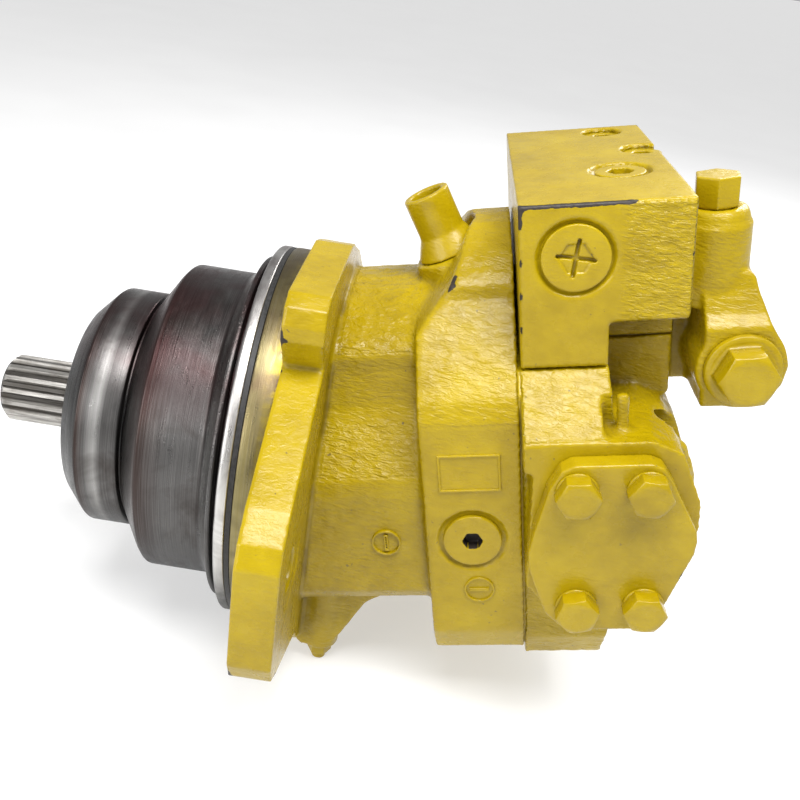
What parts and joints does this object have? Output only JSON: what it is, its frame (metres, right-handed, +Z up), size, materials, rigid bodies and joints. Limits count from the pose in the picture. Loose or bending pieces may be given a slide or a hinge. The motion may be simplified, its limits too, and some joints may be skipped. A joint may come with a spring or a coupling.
{
  "type": "axial piston pump",
  "caption": "Plug-in bent-axis axial piston unit with a splined drive shaft, two-bolt mounting flange, tilted rear body with side ports blanked by covers, and a control block on top.",
  "frame": {"origin": "centre of the mounting flange's front face, on the drive shaft's axis", "axes": "+X along the drive shaft from its free end to the rear of the unit, +Z up through the control block, +Y to the far side port"},
  "size_m": [0.361, 0.294, 0.2748],
  "materials": {
    "painted_casting": "yellow gloss paint on cast iron",
    "painted_steel": "yellow gloss paint on steel",
    "seal_rubber": "matt",
    "gasket_fibre": "matt",
    "bearing_bronze": "machined",
    "dark_steel": "blackened",
    "machined_steel": "turned and brushed"
  },
  "bodies": {
    "casing": {"main_housing": "painted_casting", "pilot_o_ring": "seal_rubber", "seal_carrier": "machined_steel", "shaft_seal": "seal_rubber", "seal_circlip": "dark_steel", "front_bearing_cup": "machined_steel", "rear_bearing_cup": "machined_steel", "port_plate_gasket": "gasket_fibre", "port_plate": "painted_casting", "port_plate_bolts": "dark_steel", "near_port_cover": "painted_steel", "far_port_cover": "painted_steel", "near_cover_bolts": "painted_steel", "far_cover_bolts": "painted_steel", "near_cover_seal": "seal_rubber", "far_cover_seal": "seal_rubber", "control_gasket": "gasket_fibre", "control_block": "painted_casting", "control_block_bolts": "painted_steel", "front_plug": "painted_steel", "top_plug": "painted_steel", "end_valve_body": "painted_casting", "end_valve_plug": "painted_steel", "end_valve_cap": "painted_steel", "collar_plug": "painted_steel", "drain_nipple": "painted_steel", "bleed_screw": "painted_steel", "stroke_stop_screw": "dark_steel"},
    "shaft": {"drive_shaft": "machined_steel", "front_bearing_cone": "machined_steel", "rear_bearing_cone": "machined_steel", "bearing_nut": "dark_steel", "retaining_plate": "machined_steel", "retaining_screws": "dark_steel"},
    "front_rollers": {"front_bearing_rollers": "dark_steel"},
    "rear_rollers": {"rear_bearing_rollers": "dark_steel"},
    "lens": {"control_lens": "bearing_bronze"},
    "block": {"cylinder_block": "machined_steel", "centre_pin": "machined_steel", "centre_spring": "dark_steel"},
    "stroker": {"stroking_piston": "machined_steel", "swivel_pin": "dark_steel"},
    "spool": {"control_spool": "machined_steel"},
    "cup_1": {"ball_cup_1": "bearing_bronze"},
    "piston_1": {"piston_1": "machined_steel"},
    "cup_2": {"ball_cup_2": "bearing_bronze"},
    "piston_2": {"piston_2": "machined_steel"},
    "cup_3": {"ball_cup_3": "bearing_bronze"},
    "piston_3": {"piston_3": "machined_steel"},
    "cup_4": {"ball_cup_4": "bearing_bronze"},
    "piston_4": {"piston_4": "machined_steel"},
    "cup_5": {"ball_cup_5": "bearing_bronze"},
    "piston_5": {"piston_5": "machined_steel"},
    "cup_6": {"ball_cup_6": "bearing_bronze"},
    "piston_6": {"piston_6": "machined_steel"},
    "cup_7": {"ball_cup_7": "bearing_bronze"},
    "piston_7": {"piston_7": "machined_steel"}
  },
  "joints": [
    {"name": "shaft_spin", "type": "hinge", "parent": "casing", "child": "shaft", "pos_m": [0, 0, 0], "axis": [1, 0, 0], "continuous": true},
    {"name": "front_roller_spin", "type": "hinge", "parent": "casing", "child": "front_rollers", "pos_m": [-0.076, 0, 0], "axis": [1, 0, 0], "continuous": true},
    {"name": "rear_roller_spin", "type": "hinge", "parent": "casing", "child": "rear_rollers", "pos_m": [-0.041, 0, 0], "axis": [1, 0, 0], "continuous": true},
    {"name": "swivel", "type": "hinge", "parent": "casing", "child": "lens", "pos_m": [0.01, 0, 0], "axis": [0, 1, 0], "range_deg": [0, 25]},
    {"name": "block_spin", "type": "hinge", "parent": "lens", "child": "block", "pos_m": [0.01, 0, 0], "axis": [0.9063, 0, 0.4226], "continuous": true},
    {"name": "stroke", "type": "slide", "parent": "casing", "child": "stroker", "axis": [0.2164, 0, -0.9763], "range_m": [-0.0001, 0.047]},
    {"name": "spool_shift", "type": "slide", "parent": "casing", "child": "spool", "axis": [0, 1, 0], "range_m": [-0.0025, 0.0025], "stiffness_N_per_m": 4000},
    {"name": "cup_turn_1", "type": "hinge", "parent": "shaft", "child": "cup_1", "pos_m": [0.01, 0, 0.033], "axis": [1, 0, 0], "continuous": true},
    {"name": "piston_tilt_1", "type": "hinge", "parent": "cup_1", "child": "piston_1", "pos_m": [0.01, 0, 0.033], "axis": [0, 1, 0], "range_deg": [-0.1, 25.1]},
    {"name": "cup_turn_2", "type": "hinge", "parent": "shaft", "child": "cup_2", "pos_m": [0.01, -0.0258, 0.02058], "axis": [1, 0, 0], "continuous": true},
    {"name": "piston_tilt_2", "type": "hinge", "parent": "cup_2", "child": "piston_2", "pos_m": [0.01, -0.0258, 0.02058], "axis": [0, 1, 0], "range_deg": [-0.1, 25.1]},
    {"name": "cup_turn_3", "type": "hinge", "parent": "shaft", "child": "cup_3", "pos_m": [0.01, -0.03217, -0.00734], "axis": [1, 0, 0], "continuous": true},
    {"name": "piston_tilt_3", "type": "hinge", "parent": "cup_3", "child": "piston_3", "pos_m": [0.01, -0.03217, -0.00734], "axis": [0, 1, 0], "range_deg": [-0.1, 25.1]},
    {"name": "cup_turn_4", "type": "hinge", "parent": "shaft", "child": "cup_4", "pos_m": [0.01, -0.01432, -0.02973], "axis": [1, 0, 0], "continuous": true},
    {"name": "piston_tilt_4", "type": "hinge", "parent": "cup_4", "child": "piston_4", "pos_m": [0.01, -0.01432, -0.02973], "axis": [0, 1, 0], "range_deg": [-0.1, 25.1]},
    {"name": "cup_turn_5", "type": "hinge", "parent": "shaft", "child": "cup_5", "pos_m": [0.01, 0.01432, -0.02973], "axis": [1, 0, 0], "continuous": true},
    {"name": "piston_tilt_5", "type": "hinge", "parent": "cup_5", "child": "piston_5", "pos_m": [0.01, 0.01432, -0.02973], "axis": [0, 1, 0], "range_deg": [-0.1, 25.1]},
    {"name": "cup_turn_6", "type": "hinge", "parent": "shaft", "child": "cup_6", "pos_m": [0.01, 0.03217, -0.00734], "axis": [1, 0, 0], "continuous": true},
    {"name": "piston_tilt_6", "type": "hinge", "parent": "cup_6", "child": "piston_6", "pos_m": [0.01, 0.03217, -0.00734], "axis": [0, 1, 0], "range_deg": [-0.1, 25.1]},
    {"name": "cup_turn_7", "type": "hinge", "parent": "shaft", "child": "cup_7", "pos_m": [0.01, 0.0258, 0.02058], "axis": [1, 0, 0], "continuous": true},
    {"name": "piston_tilt_7", "type": "hinge", "parent": "cup_7", "child": "piston_7", "pos_m": [0.01, 0.0258, 0.02058], "axis": [0, 1, 0], "range_deg": [-0.1, 25.1]}
  ],
  "couplings": [
    {"joint": "front_roller_spin", "follows": "shaft_spin", "ratio": 0.43},
    {"joint": "rear_roller_spin", "follows": "shaft_spin", "ratio": 0.43},
    {"joint": "block_spin", "follows": "shaft_spin", "ratio": 1},
    {"joint": "stroke", "follows": "swivel", "m_per_rad": 0.10721},
    {"joint": "cup_turn_1", "follows": "shaft_spin", "ratio": -1},
    {"joint": "piston_tilt_1", "follows": "swivel", "ratio": 1},
    {"joint": "cup_turn_2", "follows": "shaft_spin", "ratio": -1},
    {"joint": "piston_tilt_2", "follows": "swivel", "ratio": 1},
    {"joint": "cup_turn_3", "follows": "shaft_spin", "ratio": -1},
    {"joint": "piston_tilt_3", "follows": "swivel", "ratio": 1},
    {"joint": "cup_turn_4", "follows": "shaft_spin", "ratio": -1},
    {"joint": "piston_tilt_4", "follows": "swivel", "ratio": 1},
    {"joint": "cup_turn_5", "follows": "shaft_spin", "ratio": -1},
    {"joint": "piston_tilt_5", "follows": "swivel", "ratio": 1},
    {"joint": "cup_turn_6", "follows": "shaft_spin", "ratio": -1},
    {"joint": "piston_tilt_6", "follows": "swivel", "ratio": 1},
    {"joint": "cup_turn_7", "follows": "shaft_spin", "ratio": -1},
    {"joint": "piston_tilt_7", "follows": "swivel", "ratio": 1}
  ]
}
